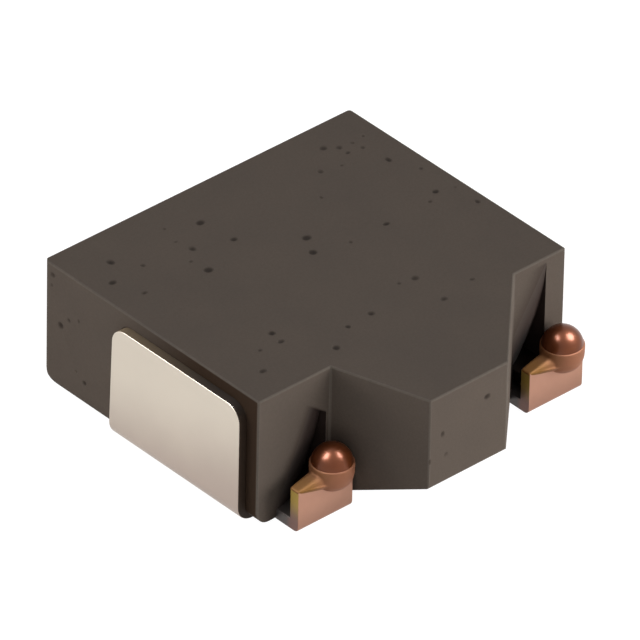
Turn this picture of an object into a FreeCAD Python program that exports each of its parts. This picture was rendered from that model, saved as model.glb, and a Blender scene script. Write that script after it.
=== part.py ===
"""Shielded surface-mount power inductor: a copper coil pressed inside an iron-powder block.

Each terminal is one folded strip: a tinned plate on the side of the block, a solder pad under it,
and a bare lug in front, where the end of the coil comes out and is welded to the lug in a bead.
Frame: millimetres, +Z up, the nose towards -Y, origin under the middle at the solder pads.
"""

import FreeCAD
import Part
import math
import os

V = FreeCAD.Vector

# Pressed block
body_w = 6.50           # across X, side to side
body_d = 5.13           # along Y, without the nose
body_h = 2.40           # pressed height
standoff = 0.05         # air under the block, above the board
base_round = 0.25       # lower edges of the sides and the back
top_round = 0.05        # upper edges
back_round = 0.12       # upright edges at the back
nose_round = 0.05       # upright edges of the nose

# Nose in the middle of the front, a trapezoid that leans to the left
nose_out = 1.71         # how far it stands out of the front
nose_root_left = -1.75  # X of its corners
nose_root_right = 2.14
nose_tip_left = -1.19
nose_tip_right = 0.455
nose_lift = 0.71        # how far its sloping underside has risen at the tip

# Folded terminals
sheet = 0.20            # strip thickness
bend_in = 0.12          # inner radius of each fold
side_seat = 0.05        # how deep the side plate is let into the block
seat_gap = 0.03         # air round a terminal in its seat
plate_w = 3.08          # side plate, along Y
plate_front = 0.29      # from the front of the block to the plate
plate_top = 2.21        # height of its upper edge
plate_taper = 0.06      # how much its back edge leans in at the top
plate_round = 0.30      # its upper corners
pad_reach = 1.60        # solder pad, in from the side of the block
pad_round = 0.10        # its inner corner at the back
lug_w = 1.15            # front lug, along X
lug_h = 0.785           # height of its upper edge
lug_gap = 0.30          # from the front of the block to the back of the lug
lug_air = 0.03          # from the left lug to the nose
lug_inset = 0.02        # from the right side of the block to the right lug

# Coil: flat enamelled wire, wound on edge
wire_w = 0.55           # across the wire, lying flat in each turn
wire_t = 0.20           # its thickness
turn_gap = 0.04         # from turn to turn
coil_r = 1.55           # to the middle of the wire
coil_x = 0.10           # middle of the coil
full_turns = 5          # and the part of a turn that the places of the leads add
winding_air = 0.005     # between the turns and the block

# Leads: level off the coil, down a slope, straight out of the block and up behind the lug
lead_drop = 0.165       # from the upper edge of the lug down to the end of its lead
lead_up = 0.07          # last run, upwards behind the lug
lead_straight = 0.75    # run before it, square to the front
weld_air = 0.005        # from the lead to the back of the lug
slope_start = 0.20      # level run before the slope, once the lead is clear of the other turns
slope_end = 0.30        # level run after the slope
slope_r = 0.30          # bends at both ends of the slope
side_bend_r = 0.50      # bend on edge, where the last run starts
elbow_r = 0.15          # last bend, upwards behind the lug

# Pockets in the front of the block, one behind each lug
pocket_grade = 0.60     # how steeply the floor of a pocket falls away from its soft edge
left_wall_gap = 0.08    # from the upright wall of the left pocket to the nose
right_wall_gap = 0.41   # from the upright wall of the right pocket to the side of the block
right_root_gap = 0.03   # from the right pocket to the nose
left_soft_top = (0.34, 1.86)    # upper end of the soft edge: distance from the wall, height
right_soft_top = (0.02, 2.33)
left_wall_top = 1.61    # height at which the upright wall ends
left_soft_lean = 0.41   # sideways run of the soft edge for each unit of height
right_soft_lean = 0.585

# Weld beads
dome_r = 0.345
dome_rise = 0.17        # middle of the dome, above the upper edge of the lug
collar_r = 0.365
belly_r = 0.325         # radius halfway down, where the bead narrows on to the lug
belly_drop = 0.165      # how far below the upper edge of the lug that is
bead_foot_r = 0.14      # radius of its lowest end
bead_foot_drop = 0.365
tail_over = 0.005       # how far the tail covers the lug's corner, where it starts
tail_inset = 0.01       # from the side of the lug to its start
tail_r = 0.235          # its radius where it meets the middle of the bead
tail_drop = 0.025       # how far the middle of that end lies below the upper edge of the lug

# Derived places
base_z = standoff
top_z = base_z + body_h
overall_d = body_d + nose_out
back_y = overall_d / 2
front_y = back_y - body_d
tip_y = -overall_d / 2
side_x = body_w / 2
lug_back_y = front_y - lug_gap
lug_front_y = lug_back_y - sheet
bead_y = lug_back_y - sheet / 2
plate_y0 = front_y + plate_front
plate_y1 = plate_y0 + plate_w
skin_x = side_x - side_seat             # inner face of a side plate
left_wall_x = nose_root_left - left_wall_gap
right_wall_x = side_x - right_wall_gap
coil_y = back_y - body_d / 2
coil_mid_z = base_z + body_h / 2
turn_pitch = wire_t + turn_gap
lead_y = lug_back_y + weld_air + wire_t / 2     # middle of a lead, behind its lug
lead_top_z = lug_h - lead_drop
exit_z = lead_top_z - lead_up - elbow_r         # height at which a lead leaves the block
bead_z = lug_h + dome_rise
belly_z = lug_h - belly_drop
bead_foot_z = lug_h - bead_foot_drop
half_arc = math.sqrt(0.5)               # sine and cosine of the middle of a quarter arc


def nose_face_x(y):
    """X of the left slanting side of the nose at a given Y."""
    share = (front_y - y) / nose_out
    return nose_root_left + share * (nose_tip_left - nose_root_left)


left_lug_x1 = nose_face_x(lug_back_y) - lug_air
left_lug = (left_lug_x1 - lug_w, left_lug_x1)
right_lug = (side_x - lug_inset - lug_w, side_x - lug_inset)


def bead_x(lug):
    return lug[1] - collar_r


def lead_x(lug, wall_x):
    """A lead stands behind its bead, or further left where the pocket's wall is in the way."""
    return min(bead_x(lug), wall_x - wire_w / 2 - seat_gap)


def box(x0, x1, y0, y1, z0, z1):
    return Part.makeBox(x1 - x0, y1 - y0, z1 - z0, V(x0, y0, z0))


def face(points):
    return Part.Face(Part.makePolygon(points + points[:1]))


def edges_where(shape, test):
    """Straight edges whose two ends both pass the test."""
    straight = [e for e in shape.Edges if len(e.Vertexes) == 2 and e.Curve.TypeId == "Part::GeomLine"]
    return [e for e in straight if all(test(v.Point) for v in e.Vertexes)]


def near(a, b):
    return abs(a - b) < 1e-6


# Block

def die_block():
    """The plain block: rounded on the sides, the top and the back, and left long at the front."""
    spare = 1.0
    block = box(-side_x, side_x, tip_y - spare, back_y, base_z, top_z)
    upright = edges_where(block, lambda p: near(p.y, back_y) and near(abs(p.x), side_x))
    upright = [e for e in upright if not near(e.Vertexes[0].Z, e.Vertexes[1].Z)]
    block = block.makeFillet(back_round, upright)

    def rim(z):
        level = [e for e in block.Edges if all(near(v.Z, z) for v in e.Vertexes)]
        return [e for e in level if e.CenterOfMass.y > tip_y - spare / 2]

    block = block.makeFillet(top_round, rim(top_z))
    return block.makeFillet(base_round, rim(base_z))


def front_outline():
    """Prism with the true outline of the front and the nose, and oversize everywhere else."""
    spare = 1.0
    points = [
        (-side_x - spare, front_y), (nose_root_left, front_y), (nose_tip_left, tip_y),
        (nose_tip_right, tip_y), (nose_root_right, front_y), (side_x + spare, front_y),
        (side_x + spare, back_y + spare), (-side_x - spare, back_y + spare),
    ]
    prism = face([V(x, y, base_z - spare) for x, y in points]).extrude(V(0, 0, body_h + spare))
    in_front = back_y - body_d / 2
    corners = edges_where(prism, lambda p: abs(p.x) < side_x and p.y < in_front)
    upright = [e for e in corners if not near(e.Vertexes[0].Z, e.Vertexes[1].Z)]
    prism = prism.makeFillet(nose_round, upright)
    top = [e for e in prism.Edges if all(near(v.Z, top_z) for v in e.Vertexes)]
    return prism.makeFillet(top_round, [e for e in top if all(v.Y < in_front for v in e.Vertexes)])


def nose_ramp():
    """What is taken off under the nose, so that its underside slopes up to the tip."""
    beyond = 0.5
    rise = nose_lift * (nose_out + beyond) / nose_out
    side = face([
        V(-side_x, front_y, base_z), V(-side_x, tip_y - beyond, base_z + rise),
        V(-side_x, tip_y - beyond, base_z - beyond), V(-side_x, front_y, base_z - beyond),
    ])
    return side.extrude(V(body_w, 0, 0))


def pocket(soft_top, lean, wall_x, wall_top, left_x):
    """Recess with one upright wall, whose floor starts level with the front at a slanting soft edge.

    soft_top is the upper end of that edge as (distance from the wall, height), lean its sideways
    run for each unit of height, and left_x a limit that the recess doesn't pass.
    """
    top_x = wall_x - soft_top[0]
    foot_z = base_z - standoff
    foot_x = top_x - lean * (soft_top[1] - foot_z)
    outline = [(foot_x, foot_z), (top_x, soft_top[1]), (wall_x, wall_top), (wall_x, foot_z)]
    reach = nose_out
    prism = face([V(x, front_y - reach, z) for x, z in outline]).extrude(V(0, 2 * reach, 0))
    along = V(lean, 0, 1).normalize()
    down = V(along.z, pocket_grade, -along.x)
    outward = down.cross(along).normalize()
    if outward.y > 0:
        outward = -outward
    outside = Part.makeCylinder(body_w, body_w, V(top_x, front_y, soft_top[1]), outward)
    limit = box(left_x, wall_x, front_y - reach, front_y + reach, foot_z, top_z)
    return prism.common(outside).common(limit)


def moulded_body(hollows):
    """The block with its pockets, the seats of both terminals and the room for the coil."""
    body = die_block().common(front_outline()).cut(nose_ramp())
    body = body.cut(pocket(left_soft_top, left_soft_lean, left_wall_x, left_wall_top, -side_x))
    body = body.cut(pocket(right_soft_top, right_soft_lean, right_wall_x, right_soft_top[1],
                           nose_root_right + right_root_gap))
    for side, lug in ((-1, left_lug), (1, right_lug)):
        body = body.cut(terminal_seat(side, lug))
    for hollow in hollows:
        body = body.cut(hollow)
    return body


# Terminals

def side_plate():
    """The upright plate of the left terminal, above its fold."""
    low = sheet + bend_in
    points = [(plate_y0, low), (plate_y1, low), (plate_y1 - plate_taper, plate_top), (plate_y0, plate_top)]
    plate = face([V(-skin_x, y, z) for y, z in points]).extrude(V(-sheet, 0, 0))
    top = [e for e in edges_where(plate, lambda p: near(p.z, plate_top)) if near(e.Length, sheet)]
    return plate.makeFillet(plate_round, top)


def fold(start, end, towards):
    """Quarter bend along the line from start to end, which is its axis, flat on the board below.

    towards is the unit vector from the axis to the upright leg.
    """
    inner = V(0, 0, -bend_in)
    outer = V(0, 0, -bend_in - sheet)
    section = face([start + inner, start + outer, end + outer, end + inner])
    return section.revolve(start, V(0, 0, -1).cross(towards), 90)


def terminal(side, lug):
    """One folded strip: side plate, solder pad and front lug.

    It is laid out for the left side; for the right one the plate and the pad are mirrored, and
    the lug goes where it belongs.
    """
    rise = sheet + bend_in
    fold_x = -skin_x + bend_in
    side_fold = fold(V(fold_x, plate_y0, rise), V(fold_x, plate_y1, rise), V(-1, 0, 0))
    pad_x1 = -side_x + pad_reach
    pad = box(fold_x, pad_x1, plate_y0, plate_y1, 0, sheet)
    back_corner = edges_where(pad, lambda p: near(p.x, pad_x1) and near(p.y, plate_y1))
    pad = pad.makeFillet(pad_round, back_corner)
    pieces = [side_plate(), side_fold, pad]
    if side > 0:
        pieces = [p.mirror(V(0, 0, 0), V(1, 0, 0)) for p in pieces]

    x0, x1 = lug
    fold_y = lug_back_y + bend_in
    strip = box(x0, x1, fold_y, plate_y0, 0, sheet)
    lug_fold = fold(V(x0, fold_y, rise), V(x1, fold_y, rise), V(0, -1, 0))
    tab = box(x0, x1, lug_front_y, lug_back_y, rise, lug_h)
    return pieces[0].multiFuse(pieces[1:] + [strip, lug_fold, tab]).removeSplitter()


def terminal_seat(side, lug):
    """The hollow that a terminal lies in: its own shape, with air round it, and open outwards."""
    beyond = 1.0
    skin = -skin_x
    seat_x1 = -side_x + pad_reach + seat_gap
    seat_top = plate_top + seat_gap
    arc_mid = bend_in * (1 - half_arc)
    profile = [
        Part.LineSegment(V(skin - beyond, 0, -beyond), V(skin - beyond, 0, seat_top)),
        Part.LineSegment(V(skin - beyond, 0, seat_top), V(skin, 0, seat_top)),
        Part.LineSegment(V(skin, 0, seat_top), V(skin, 0, sheet + bend_in)),
        Part.Arc(V(skin, 0, sheet + bend_in), V(skin + arc_mid, 0, sheet + arc_mid),
                 V(skin + bend_in, 0, sheet)),
        Part.LineSegment(V(skin + bend_in, 0, sheet), V(seat_x1, 0, sheet)),
        Part.LineSegment(V(seat_x1, 0, sheet), V(seat_x1, 0, -beyond)),
        Part.LineSegment(V(seat_x1, 0, -beyond), V(skin - beyond, 0, -beyond)),
    ]
    outline = Part.Face(Part.Wire([c.toShape() for c in profile]))
    outline.translate(V(0, plate_y0 - seat_gap, 0))
    seat = outline.extrude(V(0, plate_w + 2 * seat_gap, 0))
    top = [e for e in edges_where(seat, lambda p: near(p.z, seat_top)) if near(e.Length, beyond)]
    seat = seat.makeFillet(plate_round + seat_gap, top)
    if side > 0:
        seat = seat.mirror(V(0, 0, 0), V(1, 0, 0))
    channel = box(lug[0] - seat_gap, lug[1] + seat_gap, tip_y, plate_y0, -beyond, sheet)
    return seat.fuse(channel)


# Coil

def tangent_angle(target, sense):
    """Angle round the coil, in degrees, at which a straight lead to a target leaves it in plan."""
    away = V(target.x - coil_x, target.y - coil_y, 0)
    return math.degrees(math.atan2(away.y, away.x) + sense * math.acos(coil_r / away.Length))


def wire_section(angle, z):
    """The flat wire's section at a given angle round the coil, and the point at its middle."""
    corners = [(-wire_w / 2, -wire_t / 2), (wire_w / 2, -wire_t / 2),
               (wire_w / 2, wire_t / 2), (-wire_w / 2, wire_t / 2)]
    section = face([V(coil_r + across, 0, up) for across, up in corners])
    section.rotate(V(0, 0, 0), V(0, 0, 1), angle)
    section.translate(V(coil_x, coil_y, z))
    return section, section.CenterOfMass


def flat_route(section, points, radii):
    """Flat wire along straight runs, with a bend at each inner point: the section is carried along."""
    pieces = []
    here = points[0]
    for before, corner, after, radius in zip(points, points[1:], points[2:], radii):
        ahead = (corner - before).normalize()
        onward = (after - corner).normalize()
        turn = ahead.getAngle(onward)
        setback = radius * math.tan(turn / 2)
        run = corner - ahead * setback - here
        pieces.append(section.extrude(run))
        section = section.translated(run)
        centre = here + run + (onward - ahead * ahead.dot(onward)).normalize() * radius
        axis = ahead.cross(onward)
        pieces.append(section.revolve(centre, axis, math.degrees(turn)))
        section = section.rotated(centre, axis, math.degrees(turn))
        here = corner + onward * setback
    pieces.append(section.extrude(points[-1] - here))
    return pieces


def lead(section, start, foot):
    """From one end of the winding: level, down a slope, out of the block, and up behind the lug."""
    turn = foot + V(0, lead_straight, 0)
    plan = V(turn.x - start.x, turn.y - start.y, 0)
    ahead = V(plan).normalize()
    clear = math.sqrt((coil_r + wire_w / 2) ** 2 - (coil_r - wire_w / 2) ** 2)
    slope_top = start + ahead * (clear + slope_start)
    slope_foot = turn - ahead * slope_end
    top = V(foot.x, foot.y, lead_top_z)
    radii = [slope_r, slope_r, side_bend_r, elbow_r]
    return flat_route(section, [start, slope_top, slope_foot, turn, foot, top], radii)


def coil():
    """The whole winding as one solid, and the hollows that it leaves in the block.

    It climbs anticlockwise from the right lead to the left one.
    """
    right_foot = V(lead_x(right_lug, right_wall_x), lead_y, exit_z)
    left_foot = V(lead_x(left_lug, left_wall_x), lead_y, exit_z)
    first = tangent_angle(right_foot + V(0, lead_straight, 0), 1)
    last = tangent_angle(left_foot + V(0, lead_straight, 0), -1) % 360 + 360 * full_turns
    rise = turn_pitch * (last - first) / 360
    low_z = coil_mid_z - rise / 2

    helix = Part.makeHelix(turn_pitch, rise, coil_r)
    helix.rotate(V(0, 0, 0), V(0, 0, 1), first)
    helix.translate(V(coil_x, coil_y, low_z))
    first_section, first_point = wire_section(first, low_z)
    last_section, last_point = wire_section(last, low_z + rise)
    sweep = Part.BRepOffsetAPI.MakePipeShell(Part.Wire(helix.Edges))
    sweep.setBiNormalMode(V(0, 0, 1))
    sweep.add(first_section.OuterWire, False, False)
    sweep.build()
    sweep.makeSolid()

    leads = lead(first_section, first_point, right_foot) + lead(last_section, last_point, left_foot)
    winding = sweep.shape().multiFuse(leads).removeSplitter()

    window_h = rise + wire_t + 2 * winding_air
    centre = V(coil_x, coil_y, low_z - wire_t / 2 - winding_air)
    window = Part.makeCylinder(coil_r + wire_w / 2 + winding_air, window_h, centre)
    core = Part.makeCylinder(coil_r - wire_w / 2 - winding_air, window_h, centre)
    return winding, [window.cut(core)] + leads


# Beads

def weld_bead(lug, taken):
    """Melted copper over the ends of a lug and its lead: a dome, a collar that narrows, and a tail
    that has run along the upper edge of the lug to its left corner.
    """
    x = bead_x(lug)
    dome_mid = dome_r * half_arc
    outline = [
        Part.LineSegment(V(0, 0, bead_foot_z), V(bead_foot_r, 0, bead_foot_z)),
        Part.Arc(V(bead_foot_r, 0, bead_foot_z), V(belly_r, 0, belly_z), V(collar_r, 0, lug_h)),
        Part.LineSegment(V(collar_r, 0, lug_h), V(collar_r, 0, bead_z)),
        Part.LineSegment(V(collar_r, 0, bead_z), V(dome_r, 0, bead_z)),
        Part.Arc(V(dome_r, 0, bead_z), V(dome_mid, 0, bead_z + dome_mid), V(0, 0, bead_z + dome_r)),
        Part.LineSegment(V(0, 0, bead_z + dome_r), V(0, 0, bead_foot_z)),
    ]
    drop = Part.Face(Part.Wire([c.toShape() for c in outline])).revolve(V(0, 0, 0), V(0, 0, 1), 360)
    drop.translate(V(x, bead_y, 0))

    start = V(lug[0] + tail_inset, bead_y, lug_h - sheet / 2)
    along = V(x, bead_y, lug_h - tail_drop) - start
    tail = Part.makeCone(sheet / 2 + tail_over, tail_r, along.Length, start, along)
    bead = drop.fuse(tail).removeSplitter()
    for solid in taken:
        bead = bead.cut(solid)
    return bead


def main():
    os.makedirs("parts", exist_ok=True)
    winding, hollows = coil()
    body = moulded_body(hollows)
    left = terminal(-1, left_lug)
    right = terminal(1, right_lug)
    nodes = {
        "moulded_body": body,
        "coil_winding": winding,
        "terminal_left": left,
        "terminal_right": right,
        "weld_bead_left": weld_bead(left_lug, [left, winding, body]),
        "weld_bead_right": weld_bead(right_lug, [right, winding, body]),
    }
    for name, shape in nodes.items():
        shape.exportStep(os.path.join("parts", name + ".step"))
        print(name, len(shape.Solids), "solid", round(shape.Volume, 4), "mm3", "valid", shape.isValid())


main()
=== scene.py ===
"""Looks of the moulded power inductor: pressed block, folded terminals, weld beads and enamelled wire.

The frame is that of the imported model: metres, +Z up, the nose towards -Y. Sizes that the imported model
doesn't give are in the property groups below. The pieces are modelled a thousand times as large, so
that one unit is a millimetre, and are shrunk when they are ready.
"""

import math
import random
from contextlib import contextmanager
from functools import cached_property
from types import SimpleNamespace

import bmesh
import bpy
from bpy.props import FloatProperty, FloatVectorProperty, IntProperty, PointerProperty
from mathutils import Matrix, Vector


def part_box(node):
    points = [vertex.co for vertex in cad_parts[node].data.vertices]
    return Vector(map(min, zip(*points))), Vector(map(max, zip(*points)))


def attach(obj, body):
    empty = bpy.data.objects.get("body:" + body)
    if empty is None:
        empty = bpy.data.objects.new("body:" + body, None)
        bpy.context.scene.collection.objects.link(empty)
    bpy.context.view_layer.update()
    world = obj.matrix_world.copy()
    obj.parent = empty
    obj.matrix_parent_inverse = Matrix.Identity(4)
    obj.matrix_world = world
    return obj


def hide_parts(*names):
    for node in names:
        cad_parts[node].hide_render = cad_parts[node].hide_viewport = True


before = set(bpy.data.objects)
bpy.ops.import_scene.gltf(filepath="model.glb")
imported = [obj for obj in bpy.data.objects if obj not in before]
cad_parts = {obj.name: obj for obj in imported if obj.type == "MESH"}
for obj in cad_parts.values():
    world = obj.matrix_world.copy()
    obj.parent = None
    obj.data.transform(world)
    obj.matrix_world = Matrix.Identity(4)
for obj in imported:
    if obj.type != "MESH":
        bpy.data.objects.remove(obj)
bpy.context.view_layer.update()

bl_info = {
    "name": "Moulded power inductor",
    "version": (1, 0, 0),
    "blender": (4, 5, 0),
    "location": "3D View > Sidebar > Inductor",
    "description": "Builds the looks of a moulded surface-mount inductor round its packed model",
    "category": "Object",
}

MM = 0.001

# Numbers of a piece's finishes, in the order in which it gets them
EDGE_HIGHLIGHT, POCKET, PORE = 1, 2, 3
TIN, COPPER, CUT, LUG_EDGE = 0, 1, 2, 3
DOME = 1


def box_mm(node):
    """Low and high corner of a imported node, in millimetres."""
    low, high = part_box(node)
    return Vector(low) / MM, Vector(high) / MM


BODY_LOW, BODY_HIGH = box_mm("moulded_body")
TERMINAL_LOW, TERMINAL_HIGH = box_mm("terminal_left")


def place(name, description, default_mm, **limits):
    return FloatProperty(name=name, description=description, default=default_mm * MM, unit="LENGTH",
                         subtype="DISTANCE", precision=6, **limits)


def length(name, description, default_mm):
    return place(name, description, default_mm, min=0.0)


def angle(name, description, degrees):
    return FloatProperty(name=name, description=description, default=math.radians(degrees),
                         subtype="ANGLE")


def number(name, description, default):
    return FloatProperty(name=name, description=description, default=default, min=0.0)


def colour(name, description, default):
    return FloatVectorProperty(name=name, description=description, default=screen_colour(*default),
                               subtype="COLOR", size=4, min=0.0, max=1.0)


def screen_colour(red, green, blue):
    """The linear colour that a screen shows as these values of 0 to 255."""
    def linear(value):
        value /= 255
        return value / 12.92 if value <= 0.04045 else ((value + 0.055) / 1.055) ** 2.4
    return (linear(red), linear(green), linear(blue), 1.0)


def in_mm(name):
    """The values of a property group, with its lengths in millimetres."""
    group = getattr(bpy.context.scene, "inductor_" + name)
    values = {}
    for key in group.__annotations__:
        value = getattr(group, key)
        values[key] = value / MM if group.bl_rna.properties[key].unit == "LENGTH" else value
    return SimpleNamespace(**values)


# Settings

class BlockSettings(bpy.types.PropertyGroup):
    depth: length("Depth", "Depth of the block without its nose", 5.13)
    root_left: place("Nose root left", "X where the nose leaves the front, on the left", -1.75)
    root_right: place("Nose root right", "X where the nose leaves the front, on the right", 2.14)
    tip_left: place("Nose tip left", "X of the left corner of the nose", -1.19)
    tip_right: place("Nose tip right", "X of the right corner of the nose", 0.455)
    nose_lift: length("Nose lift", "How far the nose's underside rises towards its tip", 0.71)
    base_round: length("Base rounding", "Rounding of the lower side edges", 0.25)
    back_base_round: length("Back base rounding", "Rounding of the lower back edge", 0.55)
    back_round: length("Back rounding", "Rounding of the upright back edges", 0.12)
    edge_round: length("Edge rounding", "Fine rounding of the other outer edges", 0.03)
    left_wall: place("Left pocket wall", "X of the upright wall of the left pocket", -1.83)
    left_wall_top: length("Left pocket wall top", "Height where that wall ends", 1.61)
    left_lip_back: length("Left lip", "From that wall to the top of the slanting lip", 0.34)
    left_lip_top: length("Left lip top", "Height of the top of that lip", 1.86)
    left_lean: number("Left lean", "Sideways run of that lip for each unit of height", 0.41)
    right_wall: place("Right pocket wall", "X of the upright wall of the right pocket", 2.84)
    right_lip_back: length("Right lip", "From that wall to the top of the slanting lip", 0.02)
    right_lip_top: length("Right lip top", "Height of the top of that lip", 2.33)
    right_lean: number("Right lean", "Sideways run of that lip for each unit of height", 0.585)
    right_gap: length("Right gap", "From the nose to the right pocket", 0.03)
    grade: number("Pocket grade", "Greatest depth of a pocket, for each unit of distance from its lip", 0.60)
    curve: number("Pocket curve", "Power of the distance that the depth follows; 1 is a flat slope", 1.7)
    seat_gap: length("Seat gap", "Air round a terminal in its seat", 0.012)
    seat_depth: length("Seat depth", "How deep a side plate is let into the block", 0.05)
    pore_radius: length("Pore radius", "Radius of a middling pore", 0.078)
    seed: IntProperty(name="Seed", description="Start of the scatter of the pores", default=7)


class TerminalSettings(bpy.types.PropertyGroup):
    sheet: length("Sheet", "Thickness of the strip", 0.20)
    bend: length("Bend", "Inner radius of the fold at the side plate", 0.12)
    lug_fold: length("Lug fold", "Outer radius of the tight fold under the lug", 0.10)
    plate_front: place("Plate front", "Y of the front edge of a side plate", -1.42)
    plate_back: place("Plate back", "Y of its back edge, at the bottom", 1.66)
    taper: length("Taper", "How much the back edge leans in at the top", 0.06)
    corner: length("Corner", "Rounding of the upper corners of a side plate", 0.30)
    pad_reach: length("Pad reach", "Width of a solder pad, from the side of the block", 1.60)
    pad_corner: length("Pad corner", "Rounding of the inner back corner of a solder pad", 0.10)
    lug_width: length("Lug width", "Width of a lug", 1.15)
    lug_height: length("Lug height", "Height of the upper edge of a lug", 0.785)
    left_lug: place("Left lug", "X of the right edge of the left lug", -1.6818)
    right_lug: place("Right lug", "X of the right edge of the right lug", 3.23)
    edge_round: length("Edge rounding", "Fine rounding of the edges of the strip", 0.022)


class BeadSettings(bpy.types.PropertyGroup):
    dome: length("Dome", "Radius of the glossy dome", 0.345)
    collar: length("Collar", "Radius of the dull collar under it", 0.365)
    middle: length("Middle", "Height of the middle of the dome", 0.955)
    rim: length("Rim", "How far the rim of the collar stands above that middle", 0.045)
    tail: length("Tail", "Radius of the tail where it meets the middle of the bead", 0.235)
    tail_drop: length("Tail drop", "From the upper edge of the lug down to the middle of that end", 0.025)
    grain: length("Grain", "Fineness of the melted surface", 0.013)
    flow: IntProperty(name="Flow", description="How often the melted surface is smoothed", default=14,
                      min=0)


class StageSettings(bpy.types.PropertyGroup):
    azimuth: angle("Azimuth", "Camera azimuth; 0 looks along +Y", -42.50)
    elevation: angle("Elevation", "Camera height above the level", 35.31)
    roll: angle("Roll", "Camera roll", 1.21)
    distance: length("Distance", "From the camera to the object", 198.8)
    lens: number("Lens", "Focal length on a 36 mm sensor, in mm", 702.8)
    floor_size: length("Floor", "Width of the floor", 600)
    floor_white: number("Floor white", "Share of the floor that the camera sees as plain white", 0.80)
    soft_light: number("Soft light", "Strength of the light from all round", 0.42)


class FinishSettings(bpy.types.PropertyGroup):
    block: colour("Block", "Pressed iron powder", (85, 76, 69))
    # Painted highlight: the lighter colour of the block's rounded edges
    block_edge: colour("Block edge", "Rubbed edges of the block", (93, 85, 78))
    # Painted shade: the colour that darkens the pockets and the front beside their lips
    soot: colour("Soot", "Blackened insides of the pockets", (46, 36, 32))
    # Painted shade inside the pores
    pore: colour("Pore", "Inside of a pore", (50, 43, 38))
    # Painted shade: the brown shade beside the side plates and on the front of their cut edges
    stain: colour("Stain", "Brown stain beside the side plates", (48, 35, 25))
    tin: colour("Tin", "Matte tin on the upper part of the side plates", (201, 191, 177))
    # Painted shade: the duller, pinker tin towards the fold
    tin_low: colour("Low tin", "The duller tin near the fold", (165, 150, 140))
    copper: colour("Copper", "Bare copper of the lugs", (176, 131, 109))
    gold: colour("Gold", "Heat colour of the copper beside a weld", (154, 128, 58))
    lug_edge: colour("Lug edge", "Cut edge of a lug below its heat colour", (108, 80, 72))
    # Painted shade: the dark copper behind and under the lugs
    strip: colour("Strip", "Darkened copper behind and under the lugs", (84, 77, 74))
    cut_copper: colour("Cut copper", "Oxidised cut edges of the side plates", (128, 110, 86))
    collar: colour("Collar", "Dull melted copper", (142, 92, 66))
    tail: colour("Tail", "Golden brown melt towards the corner of the lug", (122, 82, 32))
    dome: colour("Dome", "Heat-browned glossy copper", (102, 50, 20))
    enamel: colour("Enamel", "Enamelled wire", (40, 26, 20))
    floor: colour("Floor", "Pale floor", (236, 236, 236))


# Modelling helpers

def select_only(*pieces):
    bpy.ops.object.select_all(action="DESELECT")
    for piece in pieces:
        piece.select_set(True)
    bpy.context.view_layer.objects.active = pieces[0]


@contextmanager
def editing(piece, kind="ALL", test=None):
    """Edit mode with everything selected, or only what passes a test.

    A corner is tested by its place, an edge by the places of its ends, and a face by the place of
    its middle and its normal.
    """
    select_only(piece)
    bpy.ops.object.mode_set(mode="EDIT")
    bpy.context.tool_settings.mesh_select_mode = (kind in ("ALL", "VERT"), kind == "EDGE", kind == "FACE")
    bpy.ops.mesh.select_all(action="SELECT" if kind == "ALL" else "DESELECT")
    mesh = bmesh.from_edit_mesh(piece.data)
    if kind == "VERT":
        for corner in mesh.verts:
            corner.select_set(test(corner.co))
    elif kind == "EDGE":
        for edge in mesh.edges:
            edge.select_set(test(*(corner.co for corner in edge.verts)))
    elif kind == "FACE":
        mesh.normal_update()
        for face in mesh.faces:
            face.select_set(test(face.calc_center_median(), face.normal))
    mesh.select_flush_mode()
    bmesh.update_edit_mesh(piece.data)
    yield
    bpy.ops.object.mode_set(mode="OBJECT")


def near(a, b, room=0.002):
    return abs(a - b) < room


def at(**levels):
    """A test on an edge: both of its ends lie at these levels of X, Y or Z."""
    return lambda a, b: all(near(getattr(end, axis), level) for end in (a, b)
                            for axis, level in levels.items())


def settle(piece):
    """Put the piece's place and size into its mesh, so that its object stands at the origin."""
    select_only(piece)
    bpy.ops.object.transform_apply(location=True, rotation=True, scale=True)


def added(name, scale=(1, 1, 1)):
    """The primitive just added, with its name and its size."""
    piece = bpy.context.object
    piece.name = piece.data.name = name
    piece.scale = scale
    settle(piece)
    return piece


def add_box(name, low, high):
    """A box between two corners."""
    low, high = Vector(low), Vector(high)
    bpy.ops.mesh.primitive_cube_add(size=1.0, location=(low + high) / 2)
    return added(name, high - low)


def add_mesh(name, corners, faces=()):
    """A mesh from its corners and its faces."""
    mesh = bpy.data.meshes.new(name)
    mesh.from_pydata(corners, [], faces)
    return linked(name, mesh)


def linked(name, data):
    """A new object of this data in the scene."""
    thing = bpy.data.objects.new(name, data)
    bpy.context.scene.collection.objects.link(thing)
    return thing


def face_out(piece):
    with editing(piece):
        bpy.ops.mesh.normals_make_consistent(inside=False)


def shift(piece, test, by):
    """Move the corners that pass a test."""
    with editing(piece, "VERT", test):
        bpy.ops.transform.translate(value=by)


def extrude(piece, test, by):
    """Extrude the faces that pass a test."""
    with editing(piece, "FACE", test):
        bpy.ops.mesh.extrude_region_move(TRANSFORM_OT_translate={"value": by})


def round_edges(piece, test, radius, segments):
    with editing(piece, "EDGE", test):
        bpy.ops.mesh.bevel(offset=radius, segments=segments, affect="EDGES")


def apply_modifier(piece, kind, **settings):
    select_only(piece)
    modifier = piece.modifiers.new(kind.title(), kind)
    for key, value in settings.items():
        setattr(modifier, key, value)
    bpy.ops.object.modifier_apply(modifier=modifier.name)


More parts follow.
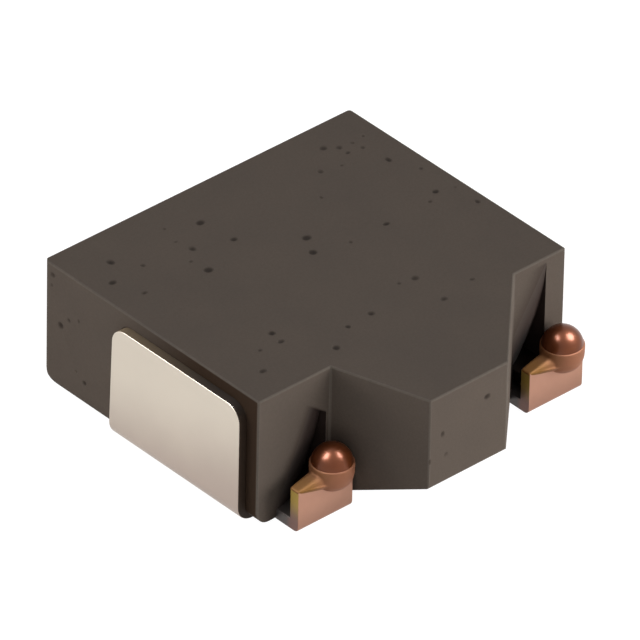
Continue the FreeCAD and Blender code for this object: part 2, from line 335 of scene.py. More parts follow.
def combine(piece, tool, operation, finish=0):
    """Cut the tool from the piece or melt it into it, and remove the tool.

    Faces that the tool makes keep its materials, or get the piece's material with the number finish.
    """
    if not tool.data.materials:
        give(tool, piece.data.materials[finish])
    apply_modifier(piece, "BOOLEAN", operation=operation, object=tool, solver="EXACT",
                   material_mode="TRANSFER")
    mesh = tool.data
    bpy.data.objects.remove(tool)
    bpy.data.meshes.remove(mesh)


def clean(piece):
    """Merge doubles and melt flat faces together."""
    with editing(piece):
        bpy.ops.mesh.remove_doubles(threshold=0.0004)
    with editing(piece):
        bpy.ops.mesh.dissolve_limited(angle_limit=math.radians(0.5), delimit={"MATERIAL"})


def finish_piece(piece, name, node):
    """Shrink the piece to its real size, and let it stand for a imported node."""
    with editing(piece):
        bpy.ops.transform.resize(value=(MM, MM, MM), center_override=(0, 0, 0))
    piece.name = piece.data.name = name
    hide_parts(node)
    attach(piece, "root")


def smooth(piece, angle=40.0, weighted=True):
    """Smooth the rounded edges and keep flat faces flat."""
    select_only(piece)
    bpy.ops.object.shade_smooth_by_angle(angle=math.radians(angle))
    if weighted:
        apply_modifier(piece, "WEIGHTED_NORMAL", mode="FACE_AREA", weight=100, keep_sharp=True)


def give(piece, *finishes):
    piece.data.materials.clear()
    for finish in finishes:
        piece.data.materials.append(finish)


def paint(piece, index, test):
    """Give one of the piece's materials to the faces that pass a test on their middle and normal."""
    for polygon in piece.data.polygons:
        if test(polygon.center, polygon.normal):
            polygon.material_index = index


# Shader helpers

class Value:
    """A shader socket that takes part in Python arithmetic."""

    def __init__(self, finish, socket):
        self.finish = finish
        self.socket = socket

    def _math(self, operation, *terms):
        return self.finish.node("ShaderNodeMath", {"operation": operation}, dict(enumerate(terms)))

    def __add__(self, other):
        return self._math("ADD", self, other)

    __radd__ = __add__

    def __sub__(self, other):
        return self._math("SUBTRACT", self, other)

    def __rsub__(self, other):
        return self._math("SUBTRACT", other, self)

    def __mul__(self, other):
        return self._math("MULTIPLY", self, other)

    __rmul__ = __mul__

    def __neg__(self):
        return self * -1.0

    def __abs__(self):
        return self._math("ABSOLUTE", self)

    def least(self, other):
        return self._math("MINIMUM", self, other)

    def beside(self, name):
        """Another output of the same node."""
        return Value(self.finish, self.socket.node.outputs[name])


class Nodes:
    """A node tree whose nodes are all made by one method."""

    def __init__(self, tree):
        self.tree = tree

    def node(self, kind, settings=None, sockets=None, output=0):
        """A node of a kind, with its settings and its sockets, which are given by name or number."""
        node = self.tree.nodes.new(kind)
        for key, value in (settings or {}).items():
            setattr(node, key, value)
        for key, value in (sockets or {}).items():
            if isinstance(value, Value):
                self.tree.links.new(value.socket, node.inputs[key])
            else:
                node.inputs[key].default_value = value
        return Value(self, node.outputs[output])

    def found(self, kind):
        """The node of a type that the tree has from the start."""
        return next(node for node in self.tree.nodes if node.type == kind)

    def show_white(self, share, light, target):
        """Add white to a surface or world, which only the camera and reflections see."""
        rays = self.node("ShaderNodeLightPath", output="Is Camera Ray")
        seen = rays + rays.beside("Is Glossy Ray") + rays.beside("Is Transmission Ray")
        kind = "ShaderNodeBackground" if target == "OUTPUT_WORLD" else "ShaderNodeEmission"
        strength = 0.9 / share + 0.1  # 1 where all is white, and more where some of the surface stays
        white = self.node(kind, sockets={"Color": (1, 1, 1, 1), "Strength": strength})
        mixed = self.node("ShaderNodeMixShader", sockets={0: share * seen, 1: light, 2: white})
        self.tree.links.new(mixed.socket, self.found(target).inputs["Surface"])


class Finish(Nodes):
    """A material built round its principled shader."""

    def __init__(self, name, **constants):
        self.material = bpy.data.materials.new(name)
        self.material.use_nodes = True
        super().__init__(self.material.node_tree)
        self.shader = self.found("BSDF_PRINCIPLED")
        tints = bpy.context.scene.inductor_finish
        self.tint = {key: tuple(getattr(tints, key)) for key in tints.__annotations__}
        for socket, value in constants.items():
            self.shader.inputs[socket.replace("_", " ")].default_value = value

    def feed(self, **links):
        for socket, value in links.items():
            self.tree.links.new(value.socket, self.shader.inputs[socket.replace("_", " ")])
        return self.material

    @cached_property
    def spot(self):
        """Place on the piece in millimetres, as a vector."""
        place = self.node("ShaderNodeTexCoord", output="Object")
        return self.node("ShaderNodeVectorMath", {"operation": "SCALE"}, {0: place, "Scale": 1 / MM})

    @cached_property
    def axes(self):
        """The same place as its X, Y and Z."""
        x = self.node("ShaderNodeSeparateXYZ", sockets={0: self.spot})
        return x, x.beside("Y"), x.beside("Z")

    def noise(self, scale, detail=2.0, roughness=0.5):
        return self.node("ShaderNodeTexNoise", sockets={
            "Vector": self.spot, "Scale": scale, "Detail": detail, "Roughness": roughness})

    def step(self, value, start, end):
        """0 before start, 1 after end, and smooth between them."""
        return self.node("ShaderNodeMapRange", {"interpolation_type": "SMOOTHSTEP"},
                         {"Value": value, "From Min": start, "From Max": end})

    def mix(self, factor, first, second, blend="MIX"):
        """A mix of two colours: sockets, tuples or names of finish colours."""
        first, second = (self.tint[c] if isinstance(c, str) else c for c in (first, second))
        return self.node("ShaderNodeMix", {"data_type": "RGBA", "blend_type": blend},
                         {0: factor, 6: first, 7: second}, output=2)

    def shades(self, factor, name, spread):
        """A finish colour, from darker where factor is 0 to lighter where it is 1."""
        return self.mix(factor, *(dim(self.tint[name], 1 + change) for change in (-spread, spread)))

    def tone(self, factor, base, low, high):
        """The base, tinted with low where factor is 0 and with high where it is 1."""
        return self.mix(1.0, base, self.mix(factor, low, high), "MULTIPLY")

    def bump(self, height, strength, distance_mm):
        return self.node("ShaderNodeBump", sockets={
            "Height": height, "Strength": strength, "Distance": distance_mm * MM})


def dim(shade, factor):
    return tuple(min(c * factor, 1.0) for c in shade[:3]) + (1.0,)


def soot(finish, block, inside):
    """Mask of painted shade in the pockets: 1 in them, with soft edges at their slanting lips.

    On the front of the block it ends at a pocket's upright wall and upper end.
    """
    front = BODY_HIGH.y - block.depth
    left_soft, right_soft = (-0.17, 0.16), (-0.38, 0.30)
    x, y, z = finish.axes
    total = 0.0
    for wall, back, top, lean, wall_top, soft in (
            (block.left_wall, block.left_lip_back, block.left_lip_top, block.left_lean,
             block.left_wall_top, left_soft),
            (block.right_wall, block.right_lip_back, block.right_lip_top, block.right_lean,
             block.right_lip_top, right_soft)):
        off = (x - (wall - back) - lean * (z - top)) * (1 / math.hypot(1.0, lean))
        mask = finish.step(off, *soft) * finish.step(y, front - 0.02, front - 0.01)
        if inside:
            mask = mask * (finish.step(x, 0, 0.1) if wall > 0 else 1.0 - finish.step(x, 0, 0.1))
        else:
            slope = (wall_top - top) / back
            over = z - top - slope * (x - (wall - back))
            before_wall = 1.0 - finish.step(x, wall - 0.005, wall)
            under_end = 1.0 - finish.step(over, -0.02, 0.05)
            on_front = 1.0 - finish.step(y, front + 0.04, front + 0.08)
            mask = mask * before_wall * under_end * on_front
        total = mask + total
    return total


def stain(finish, block):
    """Mask of painted shade beside a side plate: 1 above it and ahead of it, stronger towards the front, and
    0 at the rims of the block.
    """
    side, top, front = BODY_HIGH.x, BODY_HIGH.z, BODY_HIGH.y - block.depth
    x, y, z = finish.axes
    on_side = finish.step(abs(x), side - 0.045, side - 0.025)
    forward = finish.step(-y, -1.9, 0.5)
    above = finish.step(z, 2.02, 2.16)
    ahead = finish.step(-y, 1.36, 1.42)
    below_rim = 1.0 - finish.step(z, top - 0.04, top - 0.01)
    behind_rim = 1.0 - finish.step(-y, -front - 0.055, -front - 0.025)
    return on_side * forward * (above + ahead - above * ahead) * below_rim * behind_rim


def powder(name, shade, **constants):
    """A finish of iron powder in resin, with its fine grain and its colour."""
    finish = Finish(name, **constants)
    grains = finish.noise(26.0, 3.0, 0.6)
    return finish, grains, finish.shades(grains, shade, 0.14)


def pressed_powder(block, rubbed=False):
    """Dull grey-brown powder; with highlit, a lighter copy that paints a highlight on the rounded edges.
    Both carry painted shade beside the side plates and the pockets.
    """
    name, shade = ("rubbed_powder", "block_edge") if rubbed else ("pressed_powder", "block")
    finish, grains, base = powder(name, shade, Specular_IOR_Level=0.05)
    clouds = finish.noise(0.9, 3.0)
    base = finish.tone(clouds, base, (0.90, 0.91, 0.92, 1), (1.10, 1.09, 1.06, 1))
    # Painted shade beside the side plates
    base = finish.mix(stain(finish, block), base, "stain")
    # Painted shade on the front beside the pockets' lips
    base = finish.mix(soot(finish, block, False), base, "soot")
    return finish.feed(Base_Color=base, Roughness=0.74 + 0.2 * grains,
                       Normal=finish.bump(grains + 0.4 * clouds, 0.16, 0.006))


def pocket_powder(block):
    """The same powder in the pockets, darkened there by painted shade."""
    finish, grains, base = powder("pocket_powder", "block", Roughness=0.9, Specular_IOR_Level=0.15)
    base = finish.mix(soot(finish, block, True), base, "soot")
    return finish.feed(Base_Color=base, Normal=finish.bump(grains, 0.2, 0.006))


def pore_powder(depth_mm):
    """The powder in a pore, with painted shade that darkens it the deeper it lies under the flat faces."""
    finish, _, base = powder("pore_powder", "block", Roughness=0.9, Specular_IOR_Level=0.05)
    x, y, z = finish.axes
    depth = (BODY_HIGH.z - z).least(z - BODY_LOW.z).least(BODY_HIGH.x - abs(x))
    depth = depth.least(BODY_HIGH.y - y).least(y - BODY_LOW.y)
    return finish.feed(Base_Color=finish.mix(finish.step(depth, 0.0, depth_mm), base, "pore"))


def matte_tin():
    """Tin with painted shade: a little duller and pinker towards the fold."""
    finish = Finish("matte_tin", Metallic=0.85)
    _, y, z = finish.axes
    clouds = finish.noise(1.6)
    grains = finish.noise(45.0)
    # Painted shade: lighter upwards and towards the back
    upward = finish.step(z + 0.25 * y + 0.3 * clouds, 0.1, 2.0)
    return finish.feed(Base_Color=finish.mix(upward, "tin_low", "tin"),
                       Roughness=0.40 + 0.12 * clouds, Normal=finish.bump(grains, 0.08, 0.004))


def bare_copper(strip):
    """Front of a lug in bare copper, with painted shade that darkens it towards its foot, behind it and
    under the block.
    """
    finish = Finish("bare_copper", Metallic=0.75)
    _, y, z = finish.axes
    clouds = finish.noise(3.0)
    grains = finish.noise(50.0)
    # Painted shade: darker towards the foot of the lug
    base = finish.mix(finish.step(z, 0.02, 0.50), dim(finish.tint["copper"], 0.76), "copper")
    base = finish.tone(clouds, base, (1, 1, 1, 1), (0.88, 0.86, 0.86, 1))
    lug_front = TERMINAL_LOW.y
    # Painted shade behind the front of the lug
    behind = finish.step(y, lug_front + 0.5 * strip.sheet, lug_front + strip.sheet)
    return finish.feed(Base_Color=finish.mix(behind, base, "strip"),
                       Roughness=0.40 + 0.14 * clouds, Normal=finish.bump(grains, 0.10, 0.004))


def lug_edge(strip):
    """Cut edge of a lug: gold where the weld has heated it, pinkish below, and dark with painted shade
    behind the lug's front and under the block.
    """
    finish = Finish("lug_edge", Metallic=0.6)
    _, y, z = finish.axes
    streaks = finish.noise(14.0)
    top = strip.lug_height
    heated = finish.step(z + 0.06 * streaks, top - 0.58, top - 0.12)
    # Painted shade behind the front of the lug
    behind = finish.step(y - TERMINAL_LOW.y, 0.8 * strip.sheet, 1.5 * strip.sheet)
    base = finish.mix(behind, finish.mix(heated, "lug_edge", "gold"), "strip")
    return finish.feed(Base_Color=base, Roughness=0.48 + 0.1 * streaks,
                       Normal=finish.bump(streaks, 0.10, 0.005))


def cut_copper():
    """Cut edges of a side plate in oxidised copper, with painted shade that makes them browner towards the
    front.
    """
    finish = Finish("cut_copper", Specular_IOR_Level=0.2)
    _, y, _ = finish.axes
    streaks = finish.noise(20.0, 3.0)
    forward = finish.step(-y, -1.6, 0.9)
    # Painted shade towards the front of the cut edges
    return finish.feed(Base_Color=finish.mix(forward, "cut_copper", "stain"),
                       Roughness=0.55 + 0.2 * streaks, Normal=finish.bump(streaks, 0.2, 0.005))


def melted_collar(strip):
    """Dull melt, pinkish round the dome and golden brown towards the corner of its lug."""
    finish = Finish("melted_collar", Roughness=0.62, Metallic=0.35, Specular_IOR_Level=0.3)
    x, _, _ = finish.axes
    clouds = finish.noise(5.0)
    corner = strip.left_lug - strip.lug_width
    inward = x - corner - (strip.right_lug - strip.left_lug) * finish.step(x, -0.1, 0.1)
    base = finish.mix(finish.step(inward + 0.1 * clouds, 0.20, 0.70), "tail", "collar")
    grey = [dim((0.92, 0.92, 0.92), 1 + change) for change in (-0.08, 0.08)]
    return finish.feed(Base_Color=finish.tone(clouds, base, *grey), Normal=finish.bump(clouds, 0.1, 0.01))


def clouded(name, shade, scale, spread, **constants):
    """A glossy finish whose colour varies softly."""
    finish = Finish(name, **constants)
    return finish.feed(Base_Color=finish.shades(finish.noise(scale), shade, spread))


def melted_dome():
    return clouded("melted_dome", "dome", 5.0, 0.2, Roughness=0.34, Metallic=0.5, Coat_Weight=0.25,
                   Coat_Roughness=0.20, Specular_IOR_Level=0.3)


def enamelled_wire():
    return clouded("enamelled_wire", "enamel", 4.0, 0.15, Roughness=0.25, Metallic=0.5, Coat_Weight=0.5,
                   Coat_Roughness=0.2)


# Pieces

class INDUCTOR_OT_block(bpy.types.Operator):
    """Model the pressed block with its nose, pockets, terminal seats and pores"""
    bl_idname = "inductor.block"
    bl_label = "Pressed block"

    def execute(self, context):
        block = in_mm("block")
        terminal = in_mm("terminal")
        front = BODY_HIGH.y - block.depth
        piece = self.outer_form(block, front)
        self.pockets(piece, block, front)
        self.seats(piece, block, terminal)
        clean(piece)
        seat = BODY_HIGH.x - block.seat_depth
        round_edges(piece, lambda a, b: at(z=terminal.sheet)(a, b) and near(abs(a.x), seat)
                    and near(a.x, b.x), terminal.bend, 6)
        self.pores(piece, block, front)
        smooth(piece)
        finish_piece(piece, "pressed_block", "moulded_body")
        return {"FINISHED"}

    def outer_form(self, block, front):
        """The block with its nose and its roundings."""
        low, high = BODY_LOW, BODY_HIGH
        piece = add_box("block", (low.x, front, low.z), (high.x, high.y, high.z))
        for x in (block.root_left, block.root_right):
            with editing(piece):
                bpy.ops.mesh.bisect(plane_co=(x, 0, 0), plane_no=(1, 0, 0))
        root = (block.root_left + block.root_right) / 2
        tip = (block.tip_left + block.tip_right) / 2
        narrow = (block.tip_right - block.tip_left) / (block.root_right - block.root_left)
        with editing(piece, "FACE", lambda spot, normal: normal.y < -0.9 and near(spot.x, root)):
            bpy.ops.mesh.extrude_region_move(TRANSFORM_OT_translate={"value": (0, low.y - front, 0)})
            bpy.ops.transform.resize(value=(narrow, 1, 1), center_override=(root, low.y, 0))
            bpy.ops.transform.translate(value=(tip - root, 0, 0))
        shift(piece, lambda v: near(v.y, low.y) and near(v.z, low.z), (0, 0, block.nose_lift))

        def side(a, b):
            return near(abs(a.x), high.x) and near(a.x, b.x)

        def fine(a, b):
            upright = near(a.x, b.x) and near(a.y, b.y) and a.y < front + 0.01
            return upright or top(a, b) or nose_front(a, b)

        back, base, top, nose_front = at(y=high.y), at(z=low.z), at(z=high.z), at(y=low.y)
        give(piece, pressed_powder(block), pressed_powder(block, rubbed=True), pocket_powder(block),
             pore_powder(0.25 * block.pore_radius))
        clean(piece)
        # The rounded edges get the copy of the powder with the painted highlight
        with editing(piece, "EDGE", fine):
            bpy.ops.mesh.bevel(offset=block.edge_round, segments=3, affect="EDGES", material=EDGE_HIGHLIGHT)
        beyond = 1.0
        trims = (
            (Vector((0, beyond, 0)), lambda a, b: base(a, b) and side(a, b), block.base_round, 8),
            (Vector((beyond, 0, 0)), lambda a, b: base(a, b) and back(a, b), block.back_base_round, 12),
            (Vector((0, 0, beyond)), lambda a, b: side(a, b) and back(a, b), block.back_round, 5),
        )
        for room, rounded, radius, segments in trims:
            trim_low = Vector((low.x - room.x, low.y - beyond, low.z - room.z))
            trim = add_box("trim", trim_low, (high.x + room.x, high.y + room.y, high.z + beyond))
            round_edges(trim, rounded, radius, segments)
            combine(piece, trim, "INTERSECT")
        return piece

    def pockets(self, piece, block, front):
        left_top = (block.left_wall - block.left_lip_back, block.left_lip_top)
        left_foot = (left_top[0] - block.left_lean * left_top[1], 0.0)
        right_top = (block.right_wall - block.right_lip_back, block.right_lip_top)
        right_root = block.root_right + block.right_gap
        right_bend = (right_root, right_top[1] - (right_top[0] - right_root) / block.right_lean)
        self.pocket(piece, block, front, left_top, block.left_lean, [
            left_foot, left_top, (block.left_wall, block.left_wall_top), (block.left_wall, 0.0)])
        self.pocket(piece, block, front, right_top, block.right_lean, [
            (right_root, 0.0), right_bend, right_top, (block.right_wall, right_top[1]),
            (block.right_wall, 0.0)])

    def pocket(self, piece, block, front, top, lean, outline):
        """Cut one pocket: its outline in X and Z, deeper the further it is from its slanting lip.

        The tool is sliced along the lip, and each slice line is pushed to its own depth.
        """
        spare = 0.5
        slices = 10
        across = 1 / math.hypot(1.0, lean)

        def off(x, z):
            return (x - top[0] - lean * (z - top[1])) * across

        levels = [off(x, z) for x, z in outline]
        furthest = max(levels)
        for step in range(1, slices):
            level = furthest * step / slices
            if all(abs(level - other) > furthest / (2 * slices) for other in levels):
                levels.append(level)
        tool = add_mesh("pocket_tool", [(x, front - spare, z) for x, z in outline],
                        [range(len(outline))])
        extrude(tool, lambda spot, normal: True, (0, spare, 0))
        for level in levels:
            with editing(tool):
                bpy.ops.mesh.bisect(plane_co=(top[0] + level / across, 0, top[1]),
                                    plane_no=(across, 0, -lean * across))
        for level in {round(level, 5) for level in levels}:
            deep = block.grade * furthest * (max(level, 0.0) / furthest) ** block.curve
            shift(tool, lambda v: near(v.y, front, 1e-5) and near(off(v.x, v.z), level), (0, deep, 0))
        face_out(tool)
        combine(piece, tool, "DIFFERENCE", finish=POCKET)

    def seats(self, piece, block, terminal):
        """Cut the seats that the side plates, the pads and the lug strips lie in."""
        gap = block.seat_gap
        beyond = 1.0
        side = BODY_HIGH.x
        rise = terminal.sheet + terminal.bend
        y0, y1 = terminal.plate_front - gap, terminal.plate_back + gap
        lean = terminal.taper / (TERMINAL_HIGH.z - rise)
        for sign, lug in ((-1, terminal.left_lug), (1, terminal.right_lug)):
            cuts = (
                (side - block.seat_depth, side + beyond, y0, y1, TERMINAL_HIGH.z + gap),
                (side - terminal.pad_reach - gap, side + beyond, y0, y1, terminal.sheet),
                (sign * (lug - terminal.lug_width - gap), sign * (lug + gap), BODY_LOW.y,
                 terminal.plate_front, terminal.sheet),
            )
            for x0, x1, front, back, top in cuts:
                x0, x1 = sorted((sign * x0, sign * x1))
                tool = add_box("seat_tool", (x0, front, -beyond), (x1, back, top))
                if top > rise:
                    for level in (top, -beyond):
                        shift(tool, lambda v: near(v.y, back) and near(v.z, level),
                              (0, -lean * (level - rise), 0))
                    round_edges(tool, lambda a, b: at(z=top)(a, b) and near(a.y, b.y),
                                terminal.corner + gap, 10)
                combine(piece, tool, "DIFFERENCE")

    def pores(self, piece, block, front):
        """Sink shallow pores into the flat faces, in loose clusters that a fixed seed scatters."""
        scatter = random.Random(block.seed)
        low, high = BODY_LOW, BODY_HIGH
        clusters = (  # axis of the face, its level, middle and spread across it, number of tries
            (2, high.z, (-1.6, 2.35), (0.62, 0.38), 13),
            (2, high.z, (2.25, 2.45), (0.40, 0.40), 12),
            (2, high.z, (2.85, 0.85), (0.22, 0.60), 7),
            (2, high.z, (0.20, 1.10), (0.90, 0.50), 7),
            (2, high.z, (-1.9, -1.1), (0.60, 0.50), 7),
            (2, high.z, (0.40, -1.3), (0.60, 0.70), 7),
            (0, low.x, (2.6, 1.3), (0.45, 0.75), 9),
            (0, high.x, (2.6, 1.3), (0.45, 0.75), 6),
            (1, high.y, (0.5, 1.5), (1.60, 0.55), 8),
            (1, low.y, (-0.3, 1.7), (0.50, 0.40), 5),
            (2, low.z, (0.0, 0.5), (0.90, 1.20), 6),
        )
        margin, lift, flat, apart = 0.20, 0.6, 0.5, 1.4
        sizes, stretches = (0.55, 1.35), (0.85, 1.35)
        most = [value - margin for value in high]
        least = (low.x + margin, front + margin, 0.4)
        taken = []
        for axis, level, middle, spread, count in clusters:
            across = [a for a in range(3) if a != axis]
            outward = 1 if level in high else -1
            for _ in range(count):
                radius = block.pore_radius * scatter.uniform(*sizes)
                stretch = [scatter.uniform(*stretches) for _ in range(3)]
                stretch[axis] = flat
                spot = Vector((0, 0, 0))
                spot[axis] = level + outward * lift * radius * flat
                for a, centre, width in zip(across, middle, spread):
                    spot[a] = min(centre + width * scatter.gauss(0, 1), most[a])
                clear = all((spot - other).length > apart * (radius + size) for other, size, _ in taken)
                if clear and all(spot[a] > least[a] for a in across):
                    taken.append((spot, radius, stretch))
        tools = []
        for spot, radius, stretch in taken:
            bpy.ops.mesh.primitive_ico_sphere_add(subdivisions=3, radius=radius, location=spot)
            tools.append(added("pore_tool", stretch))
        select_only(*tools)
        bpy.ops.object.join()
        combine(piece, bpy.context.object, "DIFFERENCE", finish=PORE)
        # The cut can leave out a sliver of a face at the rounding of a seat
        with editing(piece):
            bpy.ops.mesh.fill_holes(sides=4)


class INDUCTOR_OT_terminals(bpy.types.Operator):
    """Model both folded terminals: side plate, solder pad and lug"""
    bl_idname = "inductor.terminals"
    bl_label = "Folded terminals"

    def execute(self, context):
        strip = in_mm("terminal")
        finishes = (matte_tin(), bare_copper(strip), cut_copper(), lug_edge(strip))
        rise = strip.sheet + strip.bend
        inner = BODY_HIGH.x - strip.pad_reach
        for sign, lug, side in ((-1, strip.left_lug, "left"), (1, strip.right_lug, "right")):
            piece = self.wrap(strip, sign)
            give(piece, *finishes)
            paint(piece, CUT, lambda spot, normal: abs(normal.y) > 0.3
                  or (spot.z > rise and abs(normal.x) < 0.9)
                  or (spot.z < strip.sheet and near(abs(spot.x), inner)))
            tongue = self.tongue(strip, lug)
            give(tongue, *finishes)
            paint(tongue, COPPER, lambda spot, normal: True)
            paint(tongue, TIN, lambda spot, normal: normal.z < -0.95)
            paint(tongue, LUG_EDGE, lambda spot, normal: abs(normal.x) > 0.9)
            combine(piece, tongue, "UNION")
            clean(piece)
            apply_modifier(piece, "BEVEL", width=strip.edge_round, segments=3, limit_method="ANGLE",
                           angle_limit=math.radians(40.0))
            smooth(piece)
            finish_piece(piece, "strip_" + side, "terminal_" + side)
        return {"FINISHED"}

    def wrap(self, strip, sign):
        """Solder pad, fold and side plate, on the left; mirrored for the right."""
        skin = TERMINAL_LOW.x + strip.sheet
        rise = strip.sheet + strip.bend
        fold_x = skin + strip.bend
        inner = BODY_LOW.x + strip.pad_reach
        top = TERMINAL_HIGH.z
        piece = add_box("wrap", (fold_x, strip.plate_front, 0), (inner, strip.plate_back, strip.sheet))
        with editing(piece, "FACE", lambda spot, normal: normal.x < -0.9):
            bpy.ops.mesh.spin(steps=8, angle=math.radians(-90), center=(fold_x, 0, rise), axis=(0, 1, 0))
        extrude(piece, lambda spot, normal: near(spot.z, rise) and normal.z > 0.9, (0, 0, top - rise))
        shift(piece, lambda v: near(v.z, top) and near(v.y, strip.plate_back), (0, -strip.taper, 0))
        round_edges(piece, lambda a, b: at(z=top)(a, b) and near(a.y, b.y), strip.corner, 10)
        round_edges(piece, at(x=inner, y=strip.plate_back), strip.pad_corner, 5)
        if sign > 0:
            with editing(piece):
                bpy.ops.transform.mirror(constraint_axis=(True, False, False), center_override=(0, 0, 0))
        face_out(piece)
        return piece

    def tongue(self, strip, lug):
        """Strip under the block, tight fold and upright lug."""
        front = TERMINAL_LOW.y
        into_pad = 0.02
        piece = add_box("tongue", (lug - strip.lug_width, front, 0),
                        (lug, strip.plate_front + into_pad, strip.sheet))
        with editing(piece):
            bpy.ops.mesh.bisect(plane_co=(0, front + strip.sheet, 0), plane_no=(0, 1, 0))
        extrude(piece, lambda spot, normal: normal.z > 0.9 and spot.y < front + strip.sheet,
                (0, 0, strip.lug_height - strip.sheet))
        round_edges(piece, at(y=front, z=0), strip.lug_fold, 6)
        return piece


class INDUCTOR_OT_beads(bpy.types.Operator):
    """Model the weld bead on each lug: a dull collar that runs down on to the lug, and a glossy dome"""
    bl_idname = "inductor.beads"
    bl_label = "Weld beads"

    def execute(self, context):
        bead = in_mm("bead")
        strip = in_mm("terminal")
        x = strip.left_lug - bead.collar
        y = TERMINAL_LOW.y + strip.sheet / 2
        left = self.melt(bead, strip, x, y)
        dome = self.dome(bead, x, y)
        give(dome, *left.data.materials)
        paint(dome, DOME, lambda spot, normal: True)
        select_only(left, dome)
        bpy.ops.object.join()
        smooth(left, 50.0, weighted=False)
        bpy.ops.object.duplicate()
        right = bpy.context.object
        with editing(right):
            bpy.ops.transform.translate(value=(strip.right_lug - strip.left_lug, 0, 0))
        finish_piece(left, "melt_left", "weld_bead_left")
        finish_piece(right, "melt_right", "weld_bead_right")
        return {"FINISHED"}

    def melt(self, bead, strip, x, y):
        """Collar under the dome, what has run down from it, and its tail to the corner of the lug."""
        piece = self.drop(bead, x, y)
        give(piece, melted_collar(strip), melted_dome())
        combine(piece, self.tail(bead, strip, x, y), "UNION")
        combine(piece, self.skirt(strip, x), "UNION")
        apply_modifier(piece, "REMESH", mode="VOXEL", voxel_size=bead.grain)
        apply_modifier(piece, "SMOOTH", factor=0.5, iterations=bead.flow)
        return piece

    def tail(self, bead, strip, x, y):
        """Melt on the upper edge of the lug, as wide as the sheet at the lug's corner."""
        corner = strip.left_lug - strip.lug_width - 0.015
        top, half = strip.lug_height, strip.sheet / 2 - 0.008
        ends = [(corner + inward, y + side * half, top + rise)
                for inward, below, above in ((0.0, -0.03, 0.012), (0.25, -0.08, 0.04))
                for side in (-1, 1) for rise in (below, above)]
        middle, steps = top - bead.tail_drop, 24
        for turn in (math.tau * step / steps for step in range(steps)):
            ends.append((x, y + bead.tail * math.cos(turn), middle + bead.tail * math.sin(turn)))
        return self.hull("tail", ends)

    def skirt(self, strip, x):
        """Melt that has run over the front of the lug, from its left corner to its right edge."""
        front, top = TERMINAL_LOW.y, strip.lug_height
        inside = front + strip.sheet / 2
        left, right = strip.left_lug - strip.lug_width - 0.01, strip.left_lug - 0.01
        proud = 0.015
        edge = ((left, top + 0.005, 0.0), (right - 0.20, top - 0.30, proud),
                (right - 0.09, top - 0.26, proud), (right, top - 0.14, proud), (right, top, proud))
        corners = [(px, y, z) for px, z, out in edge for y in (inside, front - out)]
        corners += [(x - 0.20, front - 0.13, top - 0.03), (x, front - 0.20, top - 0.05),
                    (x + 0.22, front - 0.13, top - 0.05)]
        return self.hull("skirt", corners)

    def hull(self, name, corners):
        """The convex hull of some corners."""
        piece = add_mesh(name, corners)
        with editing(piece):
            bpy.ops.mesh.convex_hull()
            bpy.ops.mesh.normals_make_consistent(inside=False)
        return piece

    def drop(self, bead, x, y):
        """The round body of the bead, from its lowest end up to the rim under the dome."""
        rings = ((0.14, 0.50), (0.22, 0.55), (0.29, 0.61), (0.335, 0.68), (0.36, 0.785),
                 (bead.collar, 0.87), (bead.collar, bead.middle + bead.rim))  # radius and height
        bpy.ops.mesh.primitive_circle_add(vertices=64, radius=rings[0][0], fill_type="NGON",
                                          location=(x, y, rings[0][1]))
        drop = added("drop")
        for (before, z0), (radius, z1) in zip(rings, rings[1:]):
            wider = radius / before
            with editing(drop, "FACE", lambda spot, normal: near(spot.z, z0)):
                bpy.ops.mesh.extrude_region_move(TRANSFORM_OT_translate={"value": (0, 0, z1 - z0)})
                bpy.ops.transform.resize(value=(wider, wider, 1), center_override=(x, y, z1))
        face_out(drop)
        return drop

    def dome(self, bead, x, y):
        """Glossy dome, cut off just below its middle, where the collar hides it."""
        hidden = 0.02
        bpy.ops.mesh.primitive_uv_sphere_add(segments=64, ring_count=32, radius=bead.dome,
                                             location=(x, y, bead.middle))
        piece = added("dome")
        with editing(piece):
            bpy.ops.mesh.bisect(plane_co=(0, 0, bead.middle - hidden), plane_no=(0, 0, 1),
                                clear_inner=True, use_fill=True)
        return piece


class INDUCTOR_OT_wire(bpy.types.Operator):
    """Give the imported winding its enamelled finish"""
    bl_idname = "inductor.wire"
    bl_label = "Enamelled wire"

    def execute(self, context):
        give(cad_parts["coil_winding"], enamelled_wire())
        return {"FINISHED"}


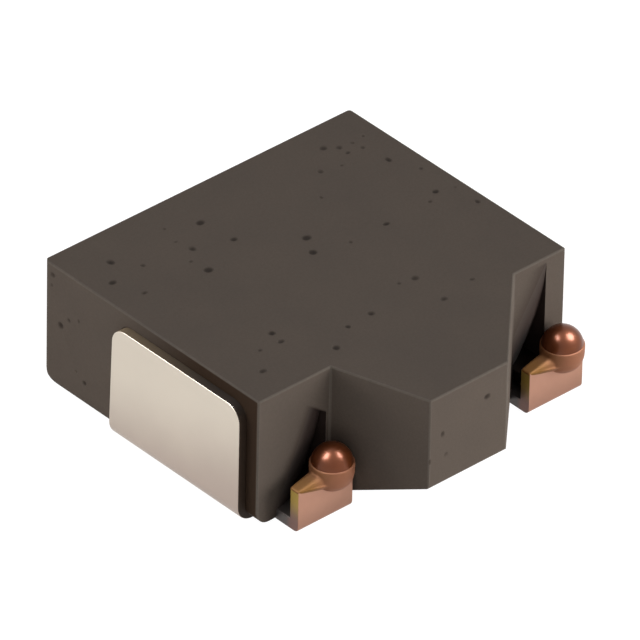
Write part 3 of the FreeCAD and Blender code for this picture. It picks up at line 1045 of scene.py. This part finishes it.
class INDUCTOR_OT_stage(bpy.types.Operator):
    """Set up the pale floor, the soft light and the camera"""
    bl_idname = "inductor.stage"
    bl_label = "Stage"

    def execute(self, context):
        stage = context.scene.inductor_stage
        self.camera(context.scene, stage)
        self.floor(stage)
        self.world(context.scene, stage)
        # Name, direction, distance and width in millimetres, power in watts
        self.lamp("left", (-1.0, 0.90, 0.30), 80, 60, 0.042)
        self.lamp("front", (0.68, -1.0, 0.30), 80, 60, 0.074)
        self.lamp("glint_left", (-0.54, 0.20, 0.82), 60, 36, 0.085, glint=True)
        self.lamp("glint_right", (0.47, -0.44, 0.76), 60, 36, 0.085, glint=True)
        context.scene.view_settings.view_transform = "Standard"
        return {"FINISHED"}

    def camera(self, scene, stage):
        """Long lens at the photograph's angle, aimed a little above the middle of the block."""
        turn = (Matrix.Rotation(stage.azimuth, 3, "Z")
                @ Matrix.Rotation(math.pi / 2 - stage.elevation, 3, "X")
                @ Matrix.Rotation(stage.roll, 3, "Z"))
        fitted = Vector((0, 0.169, 0.10)) * MM
        aside, above = -0.181 * MM, 1.161 * MM
        camera = linked("camera", bpy.data.cameras.new("camera"))
        camera.data.lens = stage.lens
        camera.data.clip_start = 1 * MM
        camera.data.clip_end = 10
        camera.matrix_world = turn.to_4x4()
        camera.location = fitted + turn @ Vector((aside, above, stage.distance))
        scene.camera = camera

    def floor(self, stage):
        """Pale floor that keeps the object's shadow and looks white to the camera elsewhere."""
        bpy.ops.mesh.primitive_plane_add(size=stage.floor_size, location=(0, 0, 0))
        floor = added("floor")
        finish = Finish("pale_floor", Roughness=0.9)
        finish.shader.inputs["Base Color"].default_value = finish.tint["floor"]
        finish.show_white(stage.floor_white, Value(finish, finish.shader.outputs[0]), "OUTPUT_MATERIAL")
        give(floor, finish.material)

    def world(self, scene, stage):
        """Soft light from all round, and white to the camera and in reflections."""
        world = bpy.data.worlds.new("studio")
        world.use_nodes = True
        scene.world = world
        studio = Nodes(world.node_tree)
        light = studio.found("BACKGROUND")
        light.inputs["Color"].default_value = (1, 1, 1, 1)
        light.inputs["Strength"].default_value = stage.soft_light
        studio.show_white(1.0, Value(studio, light.outputs[0]), "OUTPUT_WORLD")

    def lamp(self, name, towards, distance_mm, size_mm, power, glint=False):
        """A round lamp that aims at the object; a glint shows only in reflections, the others never do."""
        data = bpy.data.lights.new(name, "AREA")
        data.shape = "DISK"
        data.size = size_mm * MM
        data.energy = power
        lamp = linked(name, data)
        lamp.visible_diffuse = not glint
        lamp.visible_glossy = glint
        direction = Vector(towards).normalized()
        lamp.location = direction * distance_mm * MM
        lamp.rotation_euler = direction.to_track_quat("Z", "Y").to_euler()


class INDUCTOR_PT_panel(bpy.types.Panel):
    """Sizes, colours and steps of the inductor"""
    bl_idname = "INDUCTOR_PT_panel"
    bl_label = "Moulded power inductor"
    bl_space_type = "VIEW_3D"
    bl_region_type = "UI"
    bl_category = "Inductor"

    def draw(self, context):
        layout = self.layout
        for operator in OPERATORS:
            layout.operator(operator.bl_idname)
        for name, group in GROUPS.items():
            box = layout.box()
            box.label(text=name.replace("_", " "))
            for key in group.__annotations__:
                box.prop(getattr(context.scene, name), key)


GROUPS = {
    "inductor_block": BlockSettings,
    "inductor_terminal": TerminalSettings,
    "inductor_bead": BeadSettings,
    "inductor_finish": FinishSettings,
    "inductor_stage": StageSettings,
}
OPERATORS = (INDUCTOR_OT_block, INDUCTOR_OT_terminals, INDUCTOR_OT_beads, INDUCTOR_OT_wire,
             INDUCTOR_OT_stage)


def register():
    for cls in (*GROUPS.values(), *OPERATORS, INDUCTOR_PT_panel):
        bpy.utils.register_class(cls)
    for name, group in GROUPS.items():
        setattr(bpy.types.Scene, name, PointerProperty(type=group))


def unregister():
    for name in GROUPS:
        delattr(bpy.types.Scene, name)
    for cls in reversed((*GROUPS.values(), *OPERATORS, INDUCTOR_PT_panel)):
        bpy.utils.unregister_class(cls)


def main():
    register()
    bpy.ops.inductor.block()
    bpy.ops.inductor.terminals()
    bpy.ops.inductor.beads()
    bpy.ops.inductor.wire()
    bpy.ops.inductor.stage()


if __name__ == "__main__":
    main()
